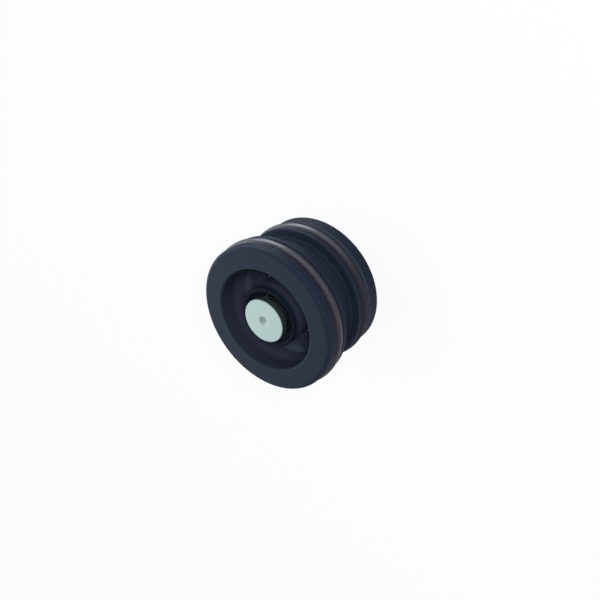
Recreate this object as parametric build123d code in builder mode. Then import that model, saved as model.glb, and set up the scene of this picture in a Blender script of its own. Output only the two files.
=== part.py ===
"""Non-return valve cartridge: a moulded body with two sealing rings, and a sprung poppet inside it.

The cartridge stands on its rear (outlet) face at Z = 0, with the inlet face up. Flow enters at the
top, pushes the poppet down off its seat and leaves at the bottom. Lengths are in millimetres.
"""

import os
from math import cos, pi, radians, tan

from build123d import *

# Body, outside: heights are above the rear face
body_length = 21.2
collar_radius = 18.0
collar_edge = 0.9
front_rim_width = 2.65
front_lip_width = 1.25
flange_step = 1.0
flange_edge = 0.3
flange_width = 8.0
flange_lip_width = 1.45
waist_depth = 2.1
waist_corner = 0.5
corner_break = 0.2

# Sealing rings and their grooves
cord_diameter = 2.62
ring_groove_width = 2.8
ring_stands_out = 0.4
ring_seat_gap = 0.02

# Body, inside
collar_face_width = 5.5
inlet_edge = 0.5
outlet_wall = 3.8
outlet_chamfer = 0.5
seat_height = 9.4
seat_step = 3.3
seat_lip_width = 1.0
seat_lip_height = 1.0
seat_wall = 1.4
funnel_height = 2.0

# Hub with its spring cup, carried by spokes
hub_radius = 7.6
hub_set_back = 1.5
hub_wall = 1.3
hub_edge = 0.5
hub_floor_gap = 0.3
hub_floor_thickness = 1.6
hub_chamfer = 1.2
spoke_count = 4
spoke_width = 1.5
spoke_set_back = 5.5

# Poppet stack
stroke = 3.8
plate_overlap = 0.6
plate_thickness = 1.6
plate_edge = 0.4
seal_clamp_width = 1.2
seal_set_back = 0.2
seal_thickness = 1.6
seal_edge = 0.3
pocket_gap = 0.3
pocket_web = 1.2
washer_gap = 1.0
washer_thickness = 0.8
nut_washer_radius = 4.3
nut_washer_thickness = 0.5

# Stem, nut and cap
stem_radius = 2.0
stem_collar_width = 1.2
stem_collar_height = 0.8
stem_end_length = 0.5
stem_chamfer = 0.4
nut_sides = 6
nut_across_flats = 7.0
nut_height = 3.2
nut_chamfer_angle = 30.0
cap_gap = 0.85
cap_thickness = 1.4
cap_edge = 0.25
cap_stands_out = 0.1
cap_boss_gap = 0.6
cap_hole_into_head = 0.2
dimple_radius = 1.3
dimple_depth = 0.4

# Return spring
spring_wire = 0.6
spring_inset = 1.05
spring_turns = 3.5

# Fits
guide_clearance = 0.05
hole_clearance = 0.1
stop_clearance = 0.1
press_clearance = 0.02

# Radii and heights that follow from the sizes above
flange_radius = collar_radius - flange_step
waist_radius = flange_radius - waist_depth
inlet_radius = collar_radius - collar_face_width
outlet_radius = flange_radius - outlet_wall
seat_radius = inlet_radius - seat_step
plate_radius = seat_radius + seat_lip_width + plate_overlap
seal_radius = plate_radius - seal_set_back
washer_radius = seat_radius - washer_gap
boss_radius = washer_radius - seal_clamp_width
pocket_radius = nut_washer_radius + pocket_gap
stem_collar_radius = stem_radius + stem_collar_width
cup_radius = hub_radius - hub_wall
cap_radius = cup_radius - cap_gap
spring_radius = cap_radius - spring_inset
cap_boss_radius = spring_radius - spring_wire / 2 - cap_boss_gap
ring_room = cord_diameter + ring_seat_gap
front_ring_floor = collar_radius + ring_stands_out - ring_room
rear_ring_floor = flange_radius + ring_stands_out - ring_room
front_groove_top = body_length - front_rim_width
front_groove_bottom = front_groove_top - ring_groove_width
waist_top = front_groove_bottom - front_lip_width
rear_groove_top = flange_width - flange_lip_width
rear_groove_bottom = rear_groove_top - ring_groove_width
ledge_height = seat_height + seat_lip_height
funnel_bottom = seat_height + seat_wall
funnel_top = funnel_bottom + funnel_height
hub_top = body_length - hub_set_back
plate_top = seat_height - seal_thickness
plate_bottom = plate_top - plate_thickness
pocket_top = seat_height - pocket_web
washer_top = seat_height + washer_thickness
stem_collar_top = washer_top + stem_collar_height
hub_floor_height = stem_collar_top + hub_floor_gap
cup_floor = hub_floor_height + hub_floor_thickness
nut_top = pocket_top - nut_washer_thickness
nut_bottom = nut_top - nut_height
stem_bottom = nut_bottom - stem_end_length
cap_top = body_length + cap_stands_out
cap_underside = cap_top - cap_thickness
cap_boss_bottom = cup_floor + stroke + stop_clearance
stem_top = cap_underside + cap_hole_into_head


def corners(section, *points):
    """The corners of a section that lie at the given points of it."""
    found = []
    for across, up in points:
        found.append(section.vertices().sort_by_distance((across, up, 0))[0])
    return found


# Valve body: the shell turned about the flow axis, then the hub and its spokes
with BuildPart() as valve_body:
    with BuildSketch(Plane.XZ) as shell_section:
        with BuildLine():
            Polyline(
                (inlet_radius, body_length),
                (collar_radius, body_length),
                (collar_radius, front_groove_top),
                (front_ring_floor, front_groove_top),
                (front_ring_floor, front_groove_bottom),
                (collar_radius, front_groove_bottom),
                (collar_radius, waist_top),
                (waist_radius, waist_top),
                (waist_radius, flange_width),
                (flange_radius, flange_width),
                (flange_radius, rear_groove_top),
                (rear_ring_floor, rear_groove_top),
                (rear_ring_floor, rear_groove_bottom),
                (flange_radius, rear_groove_bottom),
                (flange_radius, 0),
                (outlet_radius, 0),
                (outlet_radius, ledge_height),
                (seat_radius + seat_lip_width, ledge_height),
                (seat_radius + seat_lip_width, seat_height),
                (seat_radius, seat_height),
                (seat_radius, funnel_bottom),
                (inlet_radius, funnel_top),
                close=True,
            )
        make_face()
        fillet(corners(shell_section, (collar_radius, body_length)), collar_edge)
        fillet(corners(shell_section, (flange_radius, 0)), flange_edge)
        fillet(corners(shell_section, (inlet_radius, body_length)), inlet_edge)
        fillet(
            corners(shell_section, (waist_radius, waist_top), (waist_radius, flange_width)),
            waist_corner,
        )
        fillet(
            corners(
                shell_section,
                (collar_radius, front_groove_top),
                (collar_radius, front_groove_bottom),
                (collar_radius, waist_top),
                (flange_radius, flange_width),
                (flange_radius, rear_groove_top),
                (flange_radius, rear_groove_bottom),
            ),
            corner_break,
        )
        chamfer(corners(shell_section, (outlet_radius, 0)), outlet_chamfer)
    revolve(axis=Axis.Z)
    with BuildSketch(Plane.XZ) as hub_section:
        with BuildLine():
            Polyline(
                (stem_radius + guide_clearance, hub_floor_height),
                (hub_radius, hub_floor_height),
                (hub_radius, hub_top),
                (cup_radius, hub_top),
                (cup_radius, cup_floor),
                (stem_radius + guide_clearance, cup_floor),
                close=True,
            )
        make_face()
        fillet(corners(hub_section, (hub_radius, hub_top), (cup_radius, hub_top)), hub_edge)
        chamfer(corners(hub_section, (hub_radius, hub_floor_height)), hub_chamfer)
    revolve(axis=Axis.Z)
    # Each spoke runs from inside the hub's wall to inside the shell's wall
    spoke_start = hub_radius - hub_wall / 2
    spoke_end = (inlet_radius + waist_radius) / 2
    spoke_height = body_length - spoke_set_back - cup_floor
    with BuildSketch(Plane.XY.offset(cup_floor)):
        with PolarLocations(0, spoke_count):
            with Locations(((spoke_start + spoke_end) / 2, 0)):
                Rectangle(spoke_end - spoke_start, spoke_width)
    extrude(amount=spoke_height)
valve_body.part.label = "valve_body"


def o_ring(groove_floor, middle_height):
    """A sealing ring of round cord that lies on its groove's floor."""
    with BuildPart() as ring:
        with BuildSketch(Plane.XZ):
            with Locations((groove_floor + ring_seat_gap + cord_diameter / 2, middle_height)):
                Circle(cord_diameter / 2)
        revolve(axis=Axis.Z)
    return ring.part


front_o_ring = o_ring(front_ring_floor, (front_groove_top + front_groove_bottom) / 2)
front_o_ring.label = "front_o_ring"
rear_o_ring = o_ring(rear_ring_floor, (rear_groove_top + rear_groove_bottom) / 2)
rear_o_ring.label = "rear_o_ring"

# Poppet disc: a plate with a boss for the seal above it and a pocket for the nut below
with BuildPart() as poppet_disc:
    with BuildSketch(Plane.XZ) as disc_section:
        with BuildLine():
            Polyline(
                (stem_radius + hole_clearance, seat_height),
                (boss_radius, seat_height),
                (boss_radius, plate_top),
                (plate_radius, plate_top),
                (plate_radius, plate_bottom),
                (pocket_radius, plate_bottom),
                (pocket_radius, pocket_top),
                (stem_radius + hole_clearance, pocket_top),
                close=True,
            )
        make_face()
        fillet(corners(disc_section, (plate_radius, plate_bottom)), plate_edge)
    revolve(axis=Axis.Z)
poppet_disc.part.label = "poppet_disc"

# Poppet seal: a flat ring round the boss, level with the boss's top
with BuildPart() as poppet_seal:
    with BuildSketch(Plane.XZ) as seal_section:
        with BuildLine():
            Polyline(
                (boss_radius + press_clearance, plate_top),
                (seal_radius, plate_top),
                (seal_radius, seat_height),
                (boss_radius + press_clearance, seat_height),
                close=True,
            )
        make_face()
        fillet(corners(seal_section, (seal_radius, seat_height)), seal_edge)
    revolve(axis=Axis.Z)
poppet_seal.part.label = "poppet_seal"


def washer(outer_radius, bottom, thickness):
    """A flat washer on the stem."""
    with BuildPart() as ring:
        with BuildSketch(Plane.XY.offset(bottom)):
            Circle(outer_radius)
            Circle(stem_radius + hole_clearance, mode=Mode.SUBTRACT)
        extrude(amount=thickness)
    return ring.part


seal_washer = washer(washer_radius, seat_height, washer_thickness)
seal_washer.label = "seal_washer"
nut_washer = washer(nut_washer_radius, nut_top, nut_washer_thickness)
nut_washer.label = "nut_washer"

# Valve stem: a pin whose collar clamps the washer, the seal and the disc against the nut
with BuildPart() as valve_stem:
    with BuildSketch(Plane.XZ) as stem_section:
        with BuildLine():
            Polyline(
                (0, stem_bottom),
                (stem_radius, stem_bottom),
                (stem_radius, washer_top),
                (stem_collar_radius, washer_top),
                (stem_collar_radius, stem_collar_top),
                (stem_radius, stem_collar_top),
                (stem_radius, stem_top),
                (0, stem_top),
                close=True,
            )
        make_face()
        chamfer(corners(stem_section, (stem_radius, stem_bottom)), stem_chamfer)
    revolve(axis=Axis.Z)
valve_stem.part.label = "valve_stem"

# Stem nut: a hexagon with its corners chamfered at both ends
nut_corner_radius = nut_across_flats / 2 / cos(pi / nut_sides)
nut_chamfer = (nut_corner_radius - nut_across_flats / 2) * tan(radians(nut_chamfer_angle))
with BuildPart() as stem_nut:
    with BuildSketch(Plane.XY.offset(nut_bottom)):
        RegularPolygon(nut_across_flats / 2, nut_sides, major_radius=False)
        Circle(stem_radius + press_clearance, mode=Mode.SUBTRACT)
    extrude(amount=nut_height)
    with BuildSketch(Plane.XZ):
        with BuildLine():
            Polyline(
                (0, nut_bottom),
                (nut_across_flats / 2, nut_bottom),
                (nut_corner_radius, nut_bottom + nut_chamfer),
                (nut_corner_radius, nut_top - nut_chamfer),
                (nut_across_flats / 2, nut_top),
                (0, nut_top),
                close=True,
            )
        make_face()
    revolve(axis=Axis.Z, mode=Mode.INTERSECT)
stem_nut.part.label = "stem_nut"

# Spring cap: a turned disc with a centre dimple and a boss that is pressed on the stem
with BuildPart() as spring_cap:
    with BuildSketch(Plane.XZ) as cap_section:
        with BuildLine():
            Polyline(
                (0, cap_top - dimple_depth),
                (dimple_radius, cap_top),
                (cap_radius, cap_top),
                (cap_radius, cap_underside),
                (cap_boss_radius, cap_underside),
                (cap_boss_radius, cap_boss_bottom),
                (stem_radius + press_clearance, cap_boss_bottom),
                (stem_radius + press_clearance, stem_top),
                (0, stem_top),
                close=True,
            )
        make_face()
        fillet(corners(cap_section, (cap_radius, cap_top)), cap_edge)
    revolve(axis=Axis.Z)
spring_cap.part.label = "spring_cap"

# Return spring: round wire coiled between the cup's floor and the cap
coil_height = cap_underside - cup_floor - spring_wire
with BuildPart() as return_spring:
    with BuildLine() as coil:
        Helix(
            coil_height / spring_turns,
            coil_height,
            spring_radius,
            center=(0, 0, cup_floor + spring_wire / 2),
        )
    with BuildSketch(coil.line ^ 0):
        Circle(spring_wire / 2)
    sweep()
return_spring.part.label = "return_spring"

os.makedirs("parts", exist_ok=True)
export_step(valve_body.part, "parts/valve_body.step")
export_step(front_o_ring, "parts/front_o_ring.step")
export_step(rear_o_ring, "parts/rear_o_ring.step")
export_step(poppet_disc.part, "parts/poppet_disc.step")
export_step(poppet_seal.part, "parts/poppet_seal.step")
export_step(seal_washer, "parts/seal_washer.step")
export_step(nut_washer, "parts/nut_washer.step")
export_step(valve_stem.part, "parts/valve_stem.step")
export_step(stem_nut.part, "parts/stem_nut.step")
export_step(spring_cap.part, "parts/spring_cap.step")
export_step(return_spring.part, "parts/return_spring.step")
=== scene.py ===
"""Looks of the non-return valve cartridge: finishes, the wound return spring, light and camera.

Lengths are in metres, in the part's own frame: it stands on its rear face at Z = 0, inlet up.
"""

import math

import bpy
from mathutils import Matrix, Vector


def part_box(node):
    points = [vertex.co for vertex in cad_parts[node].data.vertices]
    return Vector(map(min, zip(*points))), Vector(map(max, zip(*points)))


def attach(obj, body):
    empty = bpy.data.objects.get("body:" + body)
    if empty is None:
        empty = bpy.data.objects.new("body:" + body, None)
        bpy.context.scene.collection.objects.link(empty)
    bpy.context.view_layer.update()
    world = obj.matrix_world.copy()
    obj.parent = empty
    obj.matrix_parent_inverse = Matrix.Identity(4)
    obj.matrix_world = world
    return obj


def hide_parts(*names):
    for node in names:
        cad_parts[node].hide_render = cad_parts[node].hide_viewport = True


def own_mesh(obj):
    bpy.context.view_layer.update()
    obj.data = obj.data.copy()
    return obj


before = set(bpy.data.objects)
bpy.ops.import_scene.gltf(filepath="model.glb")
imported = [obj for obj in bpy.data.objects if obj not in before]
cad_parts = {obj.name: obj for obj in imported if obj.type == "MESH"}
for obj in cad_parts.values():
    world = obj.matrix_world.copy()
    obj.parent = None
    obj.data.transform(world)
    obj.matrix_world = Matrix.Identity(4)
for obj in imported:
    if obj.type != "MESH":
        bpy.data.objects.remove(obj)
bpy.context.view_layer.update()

MM = 0.001

# Sizes of the solids that the finishes and the spring follow
front_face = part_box("valve_body")[1][2]
cap_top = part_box("spring_cap")[1][2]
front_ring, rear_ring = [
    sum(corner[2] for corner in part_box(ring)) / 2 for ring in ("front_o_ring", "rear_o_ring")
]
collar_radius = 18.0 * MM
flange_radius = 17.0 * MM
ring_groove_width = 2.8 * MM
inlet_radius = 12.5 * MM
hub_radius = 7.6 * MM
hub_set_back = 1.5 * MM
spoke_width = 1.5 * MM
spoke_set_back = 5.5 * MM
cap_radius = 5.45 * MM
dimple_radius = 1.3 * MM
spring_wire = 0.6 * MM

# A Mix node's sockets for colours: its two inputs and its result
MIX_FIRST, MIX_SECOND, MIX_RESULT = 6, 7, 2


class Value:
    """A node's output that takes part in plain Python expressions."""

    def __init__(self, graph, socket):
        self.graph = graph
        self.socket = socket

    def __add__(self, other):
        return self.graph.calc("ADD", self, other)

    def __radd__(self, other):
        return self.graph.calc("ADD", other, self)

    def __sub__(self, other):
        return self.graph.calc("SUBTRACT", self, other)

    def __rsub__(self, other):
        return self.graph.calc("SUBTRACT", other, self)

    def __mul__(self, other):
        return self.graph.calc("MULTIPLY", self, other)

    def __rmul__(self, other):
        return self.graph.calc("MULTIPLY", other, self)

    def __truediv__(self, other):
        return self.graph.calc("DIVIDE", self, other)

    def __rtruediv__(self, other):
        return self.graph.calc("DIVIDE", other, self)

    def __abs__(self):
        return self.graph.calc("ABSOLUTE", self)


class Graph:
    """A node tree that is built by calls: one method adds any node."""

    def __init__(self, tree):
        self.tree = tree

    def node(self, kind, settings=None, inputs=None, output=0):
        """Adds a node, its settings first, then its sockets' values or links. Gives an output."""
        made = self.tree.nodes.new(kind)
        for name, value in (settings or {}).items():
            setattr(made, name, value)
        for key, value in (inputs or {}).items():
            self.feed(made.inputs[key], value)
        return Value(self, made.outputs[output])

    def feed(self, socket, value):
        """Links a value to a socket, or sets a plain number, vector or colour on it."""
        if isinstance(value, Value):
            self.tree.links.new(value.socket, socket)
        else:
            socket.default_value = value

    def calc(self, operation, *operands):
        """A number worked out from values and plain numbers."""
        return self.node("ShaderNodeMath", {"operation": operation}, dict(enumerate(operands)))

    def dot(self, vector, direction):
        """How far a vector reaches along a direction."""
        return self.node(
            "ShaderNodeVectorMath",
            {"operation": "DOT_PRODUCT"},
            {0: vector, 1: direction},
            "Value",
        )

    def ease(self, value, low, high):
        """0 below low, 1 above high, smooth in between."""
        return self.node(
            "ShaderNodeMapRange",
            {"interpolation_type": "SMOOTHSTEP"},
            {"Value": value, "From Min": low, "From Max": high},
        )

    def between(self, value, rise, fall):
        """1 from the end of the rise to the start of the fall, 0 outside them, smooth on them."""
        return self.ease(value, *rise) - self.ease(value, *fall)

    def blend(self, factor, first, second):
        """A colour that goes from first to second with the factor."""
        return self.node(
            "ShaderNodeMix",
            {"data_type": "RGBA"},
            {"Factor": factor, MIX_FIRST: first, MIX_SECOND: second},
            MIX_RESULT,
        )


class Finish(Graph):
    """A material of the valve, with helpers for what its surfaces show."""

    def __init__(self, name, constants):
        self.material = bpy.data.materials.new(name)
        self.material.use_nodes = True
        super().__init__(self.material.node_tree)
        self.shader = self.tree.nodes["Principled BSDF"]
        for socket, value in constants.items():
            self.shader.inputs[socket].default_value = value
        self.place = self.node("ShaderNodeTexCoord", output="Object")

    def along(self, axis):
        """A point's place along one axis of the part."""
        return self.node("ShaderNodeSeparateXYZ", inputs={0: self.place}, output=axis)

    def axis_distance(self):
        """How far a point lies from the flow axis."""
        flat = self.node(
            "ShaderNodeVectorMath",
            {"operation": "MULTIPLY"},
            {0: self.place, 1: (1.0, 1.0, 0.0)},
        )
        return self.node("ShaderNodeVectorMath", {"operation": "LENGTH"}, {0: flat}, "Value")

    def clouds(self, size, detail):
        """Soft noise from 0 to 1 whose patches are about a given size."""
        return self.node(
            "ShaderNodeTexNoise",
            None,
            {"Vector": self.place, "Scale": 1.0 / size, "Detail": detail},
            "Fac",
        )

    def lines(self, along, spacing):
        """Uneven fine lines across a distance, from 0 to 1."""
        return self.node(
            "ShaderNodeTexNoise",
            {"noise_dimensions": "1D"},
            {"W": along / spacing, "Scale": 1.0, "Detail": 2.0, "Roughness": 0.6},
            "Fac",
        )

    def dress(self, colour, roughness, relief, relief_height, strength):
        """Feeds the shader with what varies over the surface."""
        bump = self.node(
            "ShaderNodeBump",
            None,
            {"Strength": strength, "Distance": relief_height, "Height": relief},
        )
        self.feed(self.shader.inputs["Base Color"], colour)
        self.feed(self.shader.inputs["Roughness"], roughness)
        self.feed(self.shader.inputs["Normal"], bump)
        return self.material


def moulded_body():
    """Black moulded plastic: a fine satin grain, faint flow marks, mould lines, a rubbed front
    edge, and painted light and shade.
    """
    black = (0.0135, 0.0165, 0.0295, 1.0)
    paler_black = (0.0175, 0.0215, 0.0370, 1.0)
    rubbed_black = (0.034, 0.042, 0.062, 1.0)
    # Painted highlight colour for the rear land's edge
    land_highlight_grey = (0.075, 0.085, 0.105, 1.0)
    # Painted light colours for the inlet's wall, its depth and the spokes' sides
    wall_painted_light_grey = (0.027, 0.030, 0.045, 1.0)
    deep_painted_light_grey = (0.050, 0.054, 0.082, 1.0)
    spoke_painted_light_grey = (0.038, 0.043, 0.067, 1.0)
    # Painted shade colour for the hub's and spokes' fronts
    painted_shade_black = (0.006, 0.008, 0.014, 1.0)

    skin = Finish(
        "black_moulded_plastic",
        {"IOR": 1.45, "Specular IOR Level": 0.247, "Specular Tint": (0.68, 0.85, 1.0, 1.0)},
    )
    radius = skin.axis_distance()
    height = skin.along("Z")
    below_face = front_face - height
    grain = skin.clouds(0.16 * MM, 4.0)
    flow = skin.clouds(7.0 * MM, 3.0)
    haze = skin.clouds(1.1 * MM, 5.0)
    tone = skin.blend(flow, black, paler_black)

    # The front edge of the collar is rubbed by the housing's bore
    front_edge = skin.ease(radius, collar_radius - 0.8 * MM, collar_radius - 0.4 * MM)
    front_edge = front_edge * (1.0 - skin.ease(below_face, 0.5 * MM, 1.0 * MM))
    rubbed = front_edge * skin.ease(haze, 0.35, 0.65)
    tone = skin.blend(rubbed * 0.2, tone, rubbed_black)

    # Painted highlight: the front edge of the rear land is painted paler along its whole edge, as
    # if it caught the light
    land_top = rear_ring - ring_groove_width / 2
    painted_land_highlight = skin.between(
        height,
        (land_top - 0.9 * MM, land_top - 0.6 * MM),
        (land_top, land_top + 0.2 * MM),
    )
    painted_land_highlight = painted_land_highlight * skin.ease(radius, flange_radius - 0.4 * MM, flange_radius - 0.2 * MM)
    tone = skin.blend(painted_land_highlight * 0.35, tone, land_highlight_grey)

    # Painted light: the inlet's wall is painted a paler grey from its lip down, standing in for
    # fill light inside the inlet
    within = 1.0 - skin.ease(radius, inlet_radius + 0.1 * MM, inlet_radius + 0.4 * MM)
    on_wall = skin.ease(radius, inlet_radius - 0.5 * MM, inlet_radius - 0.2 * MM) * within
    wall_painted_light = on_wall * skin.ease(below_face, 0.20 * MM, 0.60 * MM)
    tone = skin.blend(wall_painted_light, tone, wall_painted_light_grey)

    # Painted light: further in it is painted paler still, the spokes' sides a little less and the
    # spokes' fronts not at all
    spoke_span = skin.between(
        radius,
        (hub_radius + 0.02 * MM, hub_radius + 0.10 * MM),
        (inlet_radius - 0.10 * MM, inlet_radius - 0.02 * MM),
    )
    off_front = skin.ease(abs(below_face - spoke_set_back), 0.02 * MM, 0.08 * MM)
    spoke_front = (1.0 - off_front) * spoke_span
    across_spoke = skin.calc("MINIMUM", abs(skin.along("X")), abs(skin.along("Y")))
    off_spoke = skin.ease(across_spoke, spoke_width / 2 + 0.02 * MM, spoke_width / 2 + 0.08 * MM)
    spokes = (1.0 - off_spoke) * spoke_span
    deep_painted_light = skin.ease(below_face, 2.0 * MM, 3.8 * MM) * (1.0 - spoke_front) * within
    deep_painted_light = deep_painted_light * (1.0 - on_wall * (1.0 - skin.ease(below_face, 3.2 * MM, 5.2 * MM)))
    tone = skin.blend(deep_painted_light, tone, skin.blend(spokes, deep_painted_light_grey, spoke_painted_light_grey))

    # The hub's front is duller than the collar's face, and so are the spokes' fronts; both are also
    # painted darker, as painted shade
    hub_front = skin.between(
        below_face,
        (hub_set_back - 0.4 * MM, hub_set_back - 0.1 * MM),
        (hub_set_back + 0.4 * MM, hub_set_back + 0.7 * MM),
    )
    hub_front = hub_front * (1.0 - skin.ease(radius, hub_radius + 0.2 * MM, hub_radius + 0.6 * MM))
    dull_and_painted_shade = hub_front + spoke_front * 0.3
    tone = skin.blend(dull_and_painted_shade, tone, painted_shade_black)

    # Two thin witness lines run down the outside where the halves of the mould meet
    witness_turn = 0.5
    mould_side = (math.cos(witness_turn), math.sin(witness_turn), 0.0)
    off_line = skin.ease(abs(skin.dot(skin.place, mould_side)), 0.02 * MM, 0.06 * MM)
    witness = (1.0 - off_line) * skin.ease(radius, 13.8 * MM, 14.2 * MM)

    gloss = 0.44 + flow * 0.10 + haze * 0.06 - rubbed * 0.08 + dull_and_painted_shade * 0.3
    relief = grain * 0.5 + haze * 0.25 + witness * 1.4
    return skin.dress(tone, gloss, relief, relief_height=0.012 * MM, strength=0.55)


def ring_rubber():
    """Near-black rubber cord: a red tinge, a film of grease and a moulding line at its crest."""
    black = (0.009, 0.007, 0.012, 1.0)
    red_black = (0.022, 0.010, 0.017, 1.0)
    wiped_black = (0.010, 0.010, 0.016, 1.0)

    skin = Finish(
        "greased_ring_rubber",
        {
            "IOR": 1.5,
            "Specular IOR Level": 0.78,
            "Specular Tint": (0.86, 0.92, 1.0, 1.0),
            "Coat Roughness": 0.22,
            "Coat IOR": 1.52,
        },
    )
    height = skin.along("Z")
    mottle = skin.clouds(0.9 * MM, 4.0)
    pores = skin.clouds(0.07 * MM, 2.0)
    from_crest = skin.calc("MINIMUM", abs(height - front_ring), abs(height - rear_ring))
    flash = 1.0 - skin.ease(from_crest, 0.02 * MM, 0.06 * MM)

    # A thin film of assembly grease, wiped off one side of the rear ring
    wiped_side = skin.dot(skin.place, (-0.866, -0.5, 0.0))
    wiped = skin.ease(wiped_side, 3.4 * MM, 11.9 * MM)
    wiped = wiped * (1.0 - skin.ease(height, rear_ring, front_ring))
    film = (0.5 + skin.ease(mottle, 0.35, 0.7) * 0.4) * (1.0 - wiped * 0.85)
    skin.feed(skin.shader.inputs["Coat Weight"], film)

    tone = skin.blend(mottle, black, red_black)
    tone = skin.blend(wiped * 0.7, tone, wiped_black)
    gloss = 0.34 + mottle * 0.10 + pores * 0.05 + wiped * 0.3
    relief = pores * 0.5 + flash * 0.9
    return skin.dress(tone, gloss, relief, relief_height=0.010 * MM, strength=0.5)


def turned_metal(skin, pale, dark, rough, spacing):
    """Tool marks round the axis and faint stains: gives the colour, roughness and marks."""
    marks = skin.lines(skin.axis_distance(), spacing)
    stains = skin.clouds(2.2 * MM, 4.0)
    tone = skin.blend(stains * 0.7 + marks * 0.3, dark, pale)
    return tone, rough + marks * 0.10 + stains * 0.05, marks


def plated_cap():
    """Turned metal with part matt plating and a rougher dimple left by the drill. Only its front is
    pale: the dimple and the side get painted shade.
    """
    pale = (0.485, 0.58, 0.515, 1.0)
    stained = (0.435, 0.52, 0.465, 1.0)
    # Painted shade colour for the dimple
    dimple_shade_grey = (0.20, 0.25, 0.24, 1.0)
    # Painted shade colour for the side
    side_painted_shade_grey = (0.060, 0.075, 0.080, 1.0)

    skin = Finish("pale_turned_metal", {"Metallic": 0.55})
    tone, gloss, marks = turned_metal(skin, pale, stained, rough=0.32, spacing=0.05 * MM)
    from_axis = skin.axis_distance()
    # Painted shade: the dimple is painted darker towards its middle, and it is rougher there too
    dimple_rough_and_shade = 1.0 - skin.ease(from_axis, dimple_radius * 0.3, dimple_radius)
    tone = skin.blend(dimple_rough_and_shade * 0.3, tone, dimple_shade_grey)
    # Painted shade: the side, and the edge below the front, are painted dark, so only the front
    # stays pale
    front = 1.0 - skin.ease(from_axis, cap_radius - 0.28 * MM, cap_radius)
    front = front * (1.0 - skin.ease(cap_top - skin.along("Z"), 0.45 * MM, 0.60 * MM))
    tone = skin.blend(front, side_painted_shade_grey, tone)
    gloss = gloss + dimple_rough_and_shade * 0.25
    return skin.dress(tone, gloss, marks, relief_height=0.004 * MM, strength=0.6)


def turned_stainless():
    """Bright turned steel of the stem, washers and nut."""
    pale = (0.62, 0.62, 0.605, 1.0)
    stained = (0.50, 0.50, 0.49, 1.0)

    skin = Finish("turned_stainless", {"Metallic": 1.0})
    tone, gloss, marks = turned_metal(skin, pale, stained, rough=0.24, spacing=0.06 * MM)
    return skin.dress(tone, gloss, marks, relief_height=0.004 * MM, strength=0.6)


def drawn_wire():
    """Dark oil-tempered wire with a fine satin and paler traces of the die."""
    dark = (0.09, 0.09, 0.095, 1.0)
    paler = (0.15, 0.15, 0.155, 1.0)

    skin = Finish("drawn_spring_wire", {"Metallic": 1.0})
    traces = skin.clouds(0.12 * MM, 3.0)
    tone = skin.blend(traces, dark, paler)
    gloss = 0.32 + traces * 0.14
    return skin.dress(tone, gloss, traces, relief_height=0.003 * MM, strength=0.5)


def poppet_plastic():
    """Dark moulded plastic of the closing disc, a little glossier than the body."""
    dark = (0.020, 0.022, 0.026, 1.0)
    paler = (0.034, 0.036, 0.041, 1.0)

    skin = Finish("dark_disc_plastic", {"IOR": 1.45, "Specular IOR Level": 0.45})
    flow = skin.clouds(3.0 * MM, 3.0)
    grain = skin.clouds(0.14 * MM, 4.0)
    tone = skin.blend(flow, dark, paler)
    gloss = 0.34 + flow * 0.12
    return skin.dress(tone, gloss, grain, relief_height=0.010 * MM, strength=0.5)


def seal_rubber():
    """Black sheet rubber with a fine matt grain."""
    black = (0.014, 0.014, 0.015, 1.0)
    bloomed = (0.028, 0.028, 0.029, 1.0)

    skin = Finish("black_seal_rubber", {"IOR": 1.5, "Specular IOR Level": 0.35})
    grain = skin.clouds(0.10 * MM, 4.0)
    bloom = skin.clouds(1.6 * MM, 3.0)
    tone = skin.blend(bloom, black, bloomed)
    gloss = 0.50 + bloom * 0.14
    return skin.dress(tone, gloss, grain, relief_height=0.012 * MM, strength=0.5)


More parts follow.
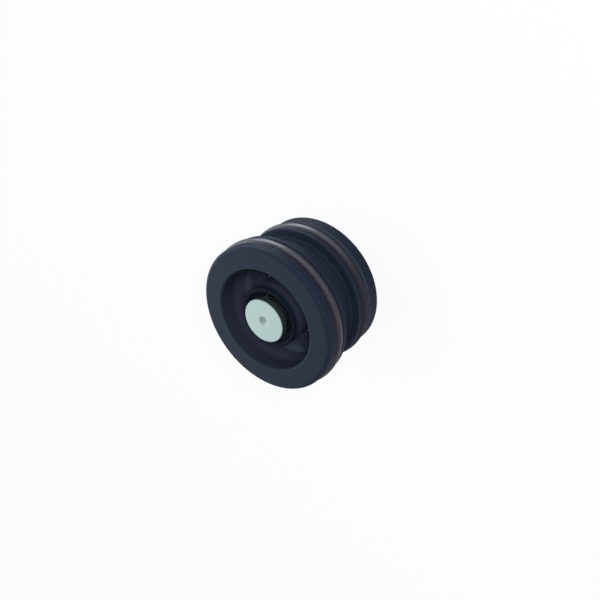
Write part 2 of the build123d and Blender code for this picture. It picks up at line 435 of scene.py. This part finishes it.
def wound_spring(low, high, wire_finish):
    """The return spring: round wire wound between two corners of a box, with closed end turns."""
    path_points = 320
    wire_sides = 20
    sizes = {
        "Bottom": low[2],
        "Length": high[2] - low[2],
        "Wire": spring_wire,
        "Coil radius": (high[0] - low[0] - spring_wire) / 2,
        "Turns": 4.5,
        "End closing": 0.78,
    }
    tree = bpy.data.node_groups.new("spring_winding", "GeometryNodeTree")
    socket_ids = {}
    for name in sizes:
        socket = tree.interface.new_socket(name, in_out="INPUT", socket_type="NodeSocketFloat")
        socket_ids[name] = socket.identifier
    tree.interface.new_socket("Geometry", in_out="OUTPUT", socket_type="NodeSocketGeometry")
    winding = Graph(tree)
    size = {name: winding.node("NodeGroupInput", output=name) for name in sizes}

    # The wire climbs slowly at both ends, so that the end turns close
    share = winding.node("GeometryNodeSplineParameter", output="Factor")
    turned = share * size["Turns"] * math.tau
    wave = winding.calc("SINE", share * math.tau)
    climb = share - wave * size["End closing"] / math.tau
    place = winding.node(
        "ShaderNodeCombineXYZ",
        None,
        {
            "X": winding.calc("COSINE", turned) * size["Coil radius"],
            "Y": winding.calc("SINE", turned) * size["Coil radius"],
            "Z": size["Bottom"] + size["Wire"] / 2.0 + climb * (size["Length"] - size["Wire"]),
        },
    )
    path = winding.node("GeometryNodeCurvePrimitiveLine", None, {"End": (0.0, 0.0, 1.0)})
    path = winding.node("GeometryNodeResampleCurve", None, {"Curve": path, "Count": path_points})
    path = winding.node("GeometryNodeSetPosition", None, {"Geometry": path, "Position": place})
    section = winding.node(
        "GeometryNodeCurvePrimitiveCircle",
        None,
        {"Resolution": wire_sides, "Radius": size["Wire"] / 2.0},
    )
    coil = winding.node(
        "GeometryNodeCurveToMesh",
        None,
        {"Curve": path, "Profile Curve": section, "Fill Caps": True},
    )
    coil = winding.node("GeometryNodeRealizeInstances", None, {"Geometry": coil})
    coil = winding.node(
        "GeometryNodeSetMaterial", None, {"Geometry": coil, "Material": wire_finish}
    )
    end = tree.nodes.new("NodeGroupOutput")
    winding.feed(end.inputs["Geometry"], coil)

    start = bpy.data.meshes.new("wound_return_spring")
    spring = bpy.data.objects.new("wound_return_spring", start)
    bpy.context.scene.collection.objects.link(spring)
    modifier = spring.modifiers.new("winding", "NODES")
    modifier.node_group = tree
    for name, value in sizes.items():
        modifier[socket_ids[name]] = value
    evaluated = spring.evaluated_get(bpy.context.evaluated_depsgraph_get())
    mesh = bpy.data.meshes.new_from_object(evaluated)
    spring.modifiers.clear()
    spring.data = mesh
    mesh.shade_smooth()
    return spring


def pale_floor():
    """A white light table: it is white to the eye and keeps the valve's soft shadow."""
    floor_size = 8.0
    floor_drop = 0.02 * MM
    matt_grey = (0.25, 0.25, 0.25, 1.0)
    glow_share = 0.6
    glow_strength = 1.49

    bpy.ops.mesh.primitive_plane_add(size=floor_size, location=(0.0, 0.0, -floor_drop))
    floor = bpy.context.object
    floor.name = "studio_floor"
    material = bpy.data.materials.new("white_floor")
    material.use_nodes = True
    tree = material.node_tree
    tree.nodes.clear()
    look = Graph(tree)
    seen = look.node("ShaderNodeLightPath", output="Is Camera Ray")
    matt = look.node("ShaderNodeBsdfDiffuse", None, {"Color": matt_grey})
    white = look.node(
        "ShaderNodeEmission", None, {"Color": (1.0, 1.0, 1.0, 1.0), "Strength": glow_strength}
    )
    mixed = look.node("ShaderNodeMixShader", None, {0: seen * glow_share, 1: matt, 2: white})
    # From below the floor is clear, so that the valve's underside can be looked at
    underneath = look.node("ShaderNodeNewGeometry", output="Backfacing")
    clear = look.node("ShaderNodeBsdfTransparent")
    mixed = look.node("ShaderNodeMixShader", None, {0: underneath, 1: mixed, 2: clear})
    end = tree.nodes.new("ShaderNodeOutputMaterial")
    look.feed(end.inputs["Surface"], mixed)
    floor.data.materials.append(material)
    floor.visible_glossy = False
    floor.visible_shadow = False


def studio_world():
    """A white surround that reflects as a band about the horizon, brightest on one side."""
    white = (1.0, 1.0, 1.0, 1.0)
    cool_white = (0.90, 0.93, 1.0, 1.0)
    plain_strength = 0.2
    mirrored_strength = 0.09
    band_strength = 0.52
    glow_strength = 0.25

    world = bpy.data.worlds.new("white_surround")
    world.use_nodes = True
    look = Graph(world.node_tree)
    surround = world.node_tree.nodes["Background"]
    seen = look.node("ShaderNodeLightPath", output="Is Camera Ray")
    reflected = look.node("ShaderNodeLightPath", output="Is Glossy Ray")
    direction = look.node("ShaderNodeTexCoord", output="Generated")
    rise = look.node("ShaderNodeSeparateXYZ", inputs={0: direction}, output="Z")
    band = look.between(rise, (-0.60, -0.35), (0.20, 0.50))
    lean = band_strength + look.dot(direction, (0.42, -0.23, 0.0))
    # A faint glow from low on the other side
    glow = look.ease(look.dot(direction, (-0.75, 0.0, -0.66)), 0.80, 0.97) * glow_strength
    mirrored = mirrored_strength + band * lean + glow
    strength = plain_strength + seen * (1.0 - plain_strength) + reflected * mirrored
    look.feed(surround.inputs["Color"], look.blend(seen, cool_white, white))
    look.feed(surround.inputs["Strength"], strength)
    bpy.context.scene.world = world


def soft_light(name, direction, distance, size, radiance, reflects=True, lights=True):
    """A softbox that faces the valve. It may show in reflections only, or light it only."""
    valve_middle = Vector((0.0, 0.0, 11.0 * MM))
    width, height = size
    lamp = bpy.data.lights.new(name, "AREA")
    lamp.shape = "RECTANGLE"
    lamp.size = width
    lamp.size_y = height
    lamp.color = (0.84, 0.94, 1.04)
    lamp.energy = radiance * math.pi * width * height
    light = bpy.data.objects.new(name, lamp)
    towards = Vector(direction).normalized()
    light.location = towards * distance + valve_middle
    light.rotation_euler = towards.to_track_quat("Z", "Y").to_euler()
    light.visible_camera = False
    light.visible_glossy = reflects
    light.visible_diffuse = lights
    bpy.context.scene.collection.objects.link(light)


def viewing_camera():
    """The camera: 50 degrees off the flow axis and rolled, with the valve's front face as aim."""
    image_size = 600.0
    focal_pixels = 726.6
    aim = Vector((0.0, 0.0, front_face))
    aim_pixel = (263.8, 321.0)
    tilt = math.radians(50.15)
    axis_turn = math.radians(35.54)
    distance = 164.1 * MM
    to_camera = Vector((0.0, -math.sin(tilt), math.cos(tilt)))

    def basis(view, side):
        """Three square axes: the view, the side made square to it, and their cross product."""
        view = view.normalized()
        side = (side - side.dot(view) * view).normalized()
        return Matrix((view, side, view.cross(side))).transposed()

    world_axes = basis(-to_camera, Vector((0.0, 0.0, 1.0)))
    aim_ray = Vector((aim_pixel[0] - image_size / 2, image_size / 2 - aim_pixel[1], -focal_pixels))
    camera_axes = basis(aim_ray, Vector((-math.cos(axis_turn), -math.sin(axis_turn), 0.0)))
    turn = world_axes @ camera_axes.transposed()
    data = bpy.data.cameras.new("viewing_camera")
    data.sensor_width = 36.0
    data.lens = focal_pixels / image_size * data.sensor_width
    data.clip_start = 0.005
    data.clip_end = 50.0
    camera = bpy.data.objects.new("viewing_camera", data)
    camera.matrix_world = Matrix.Translation(aim + to_camera * distance) @ turn.to_4x4()
    bpy.context.scene.collection.objects.link(camera)
    bpy.context.scene.camera = camera


# Finishes of the solids
body_finish = moulded_body()
rubber_finish = ring_rubber()
steel_finish = turned_stainless()
wire_finish = drawn_wire()
node_finish = {
    "valve_body": body_finish,
    "front_o_ring": rubber_finish,
    "rear_o_ring": rubber_finish,
    "spring_cap": plated_cap(),
    "valve_stem": steel_finish,
    "seal_washer": steel_finish,
    "nut_washer": steel_finish,
    "stem_nut": steel_finish,
    "poppet_disc": poppet_plastic(),
    "poppet_seal": seal_rubber(),
}
for node, finish in node_finish.items():
    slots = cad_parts[node].data.materials
    slots.clear()
    slots.append(finish)

# The wound spring takes the place of the plain helix and is attached to the cartridge
spring_low, spring_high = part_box("return_spring")
spring = wound_spring(spring_low, spring_high, wire_finish)
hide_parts("return_spring")
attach(spring, "cartridge")
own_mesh(spring)

# Floor, light and camera
pale_floor()
studio_world()
soft_light(
    "key_softbox",
    direction=(0.90, -0.10, -0.38),
    distance=0.45,
    size=(0.26, 0.34),
    radiance=2.55,
    lights=False,
)
soft_light(
    "back_softbox",
    direction=(0.46, 0.72, 0.53),
    distance=0.70,
    size=(1.00, 0.80),
    radiance=1.35,
)
soft_light(
    "fill_softbox",
    direction=(0.0, -0.768, 0.641),
    distance=0.55,
    size=(0.22, 0.22),
    radiance=16.5,
    reflects=False,
)
viewing_camera()
bpy.context.scene.view_settings.view_transform = "Standard"
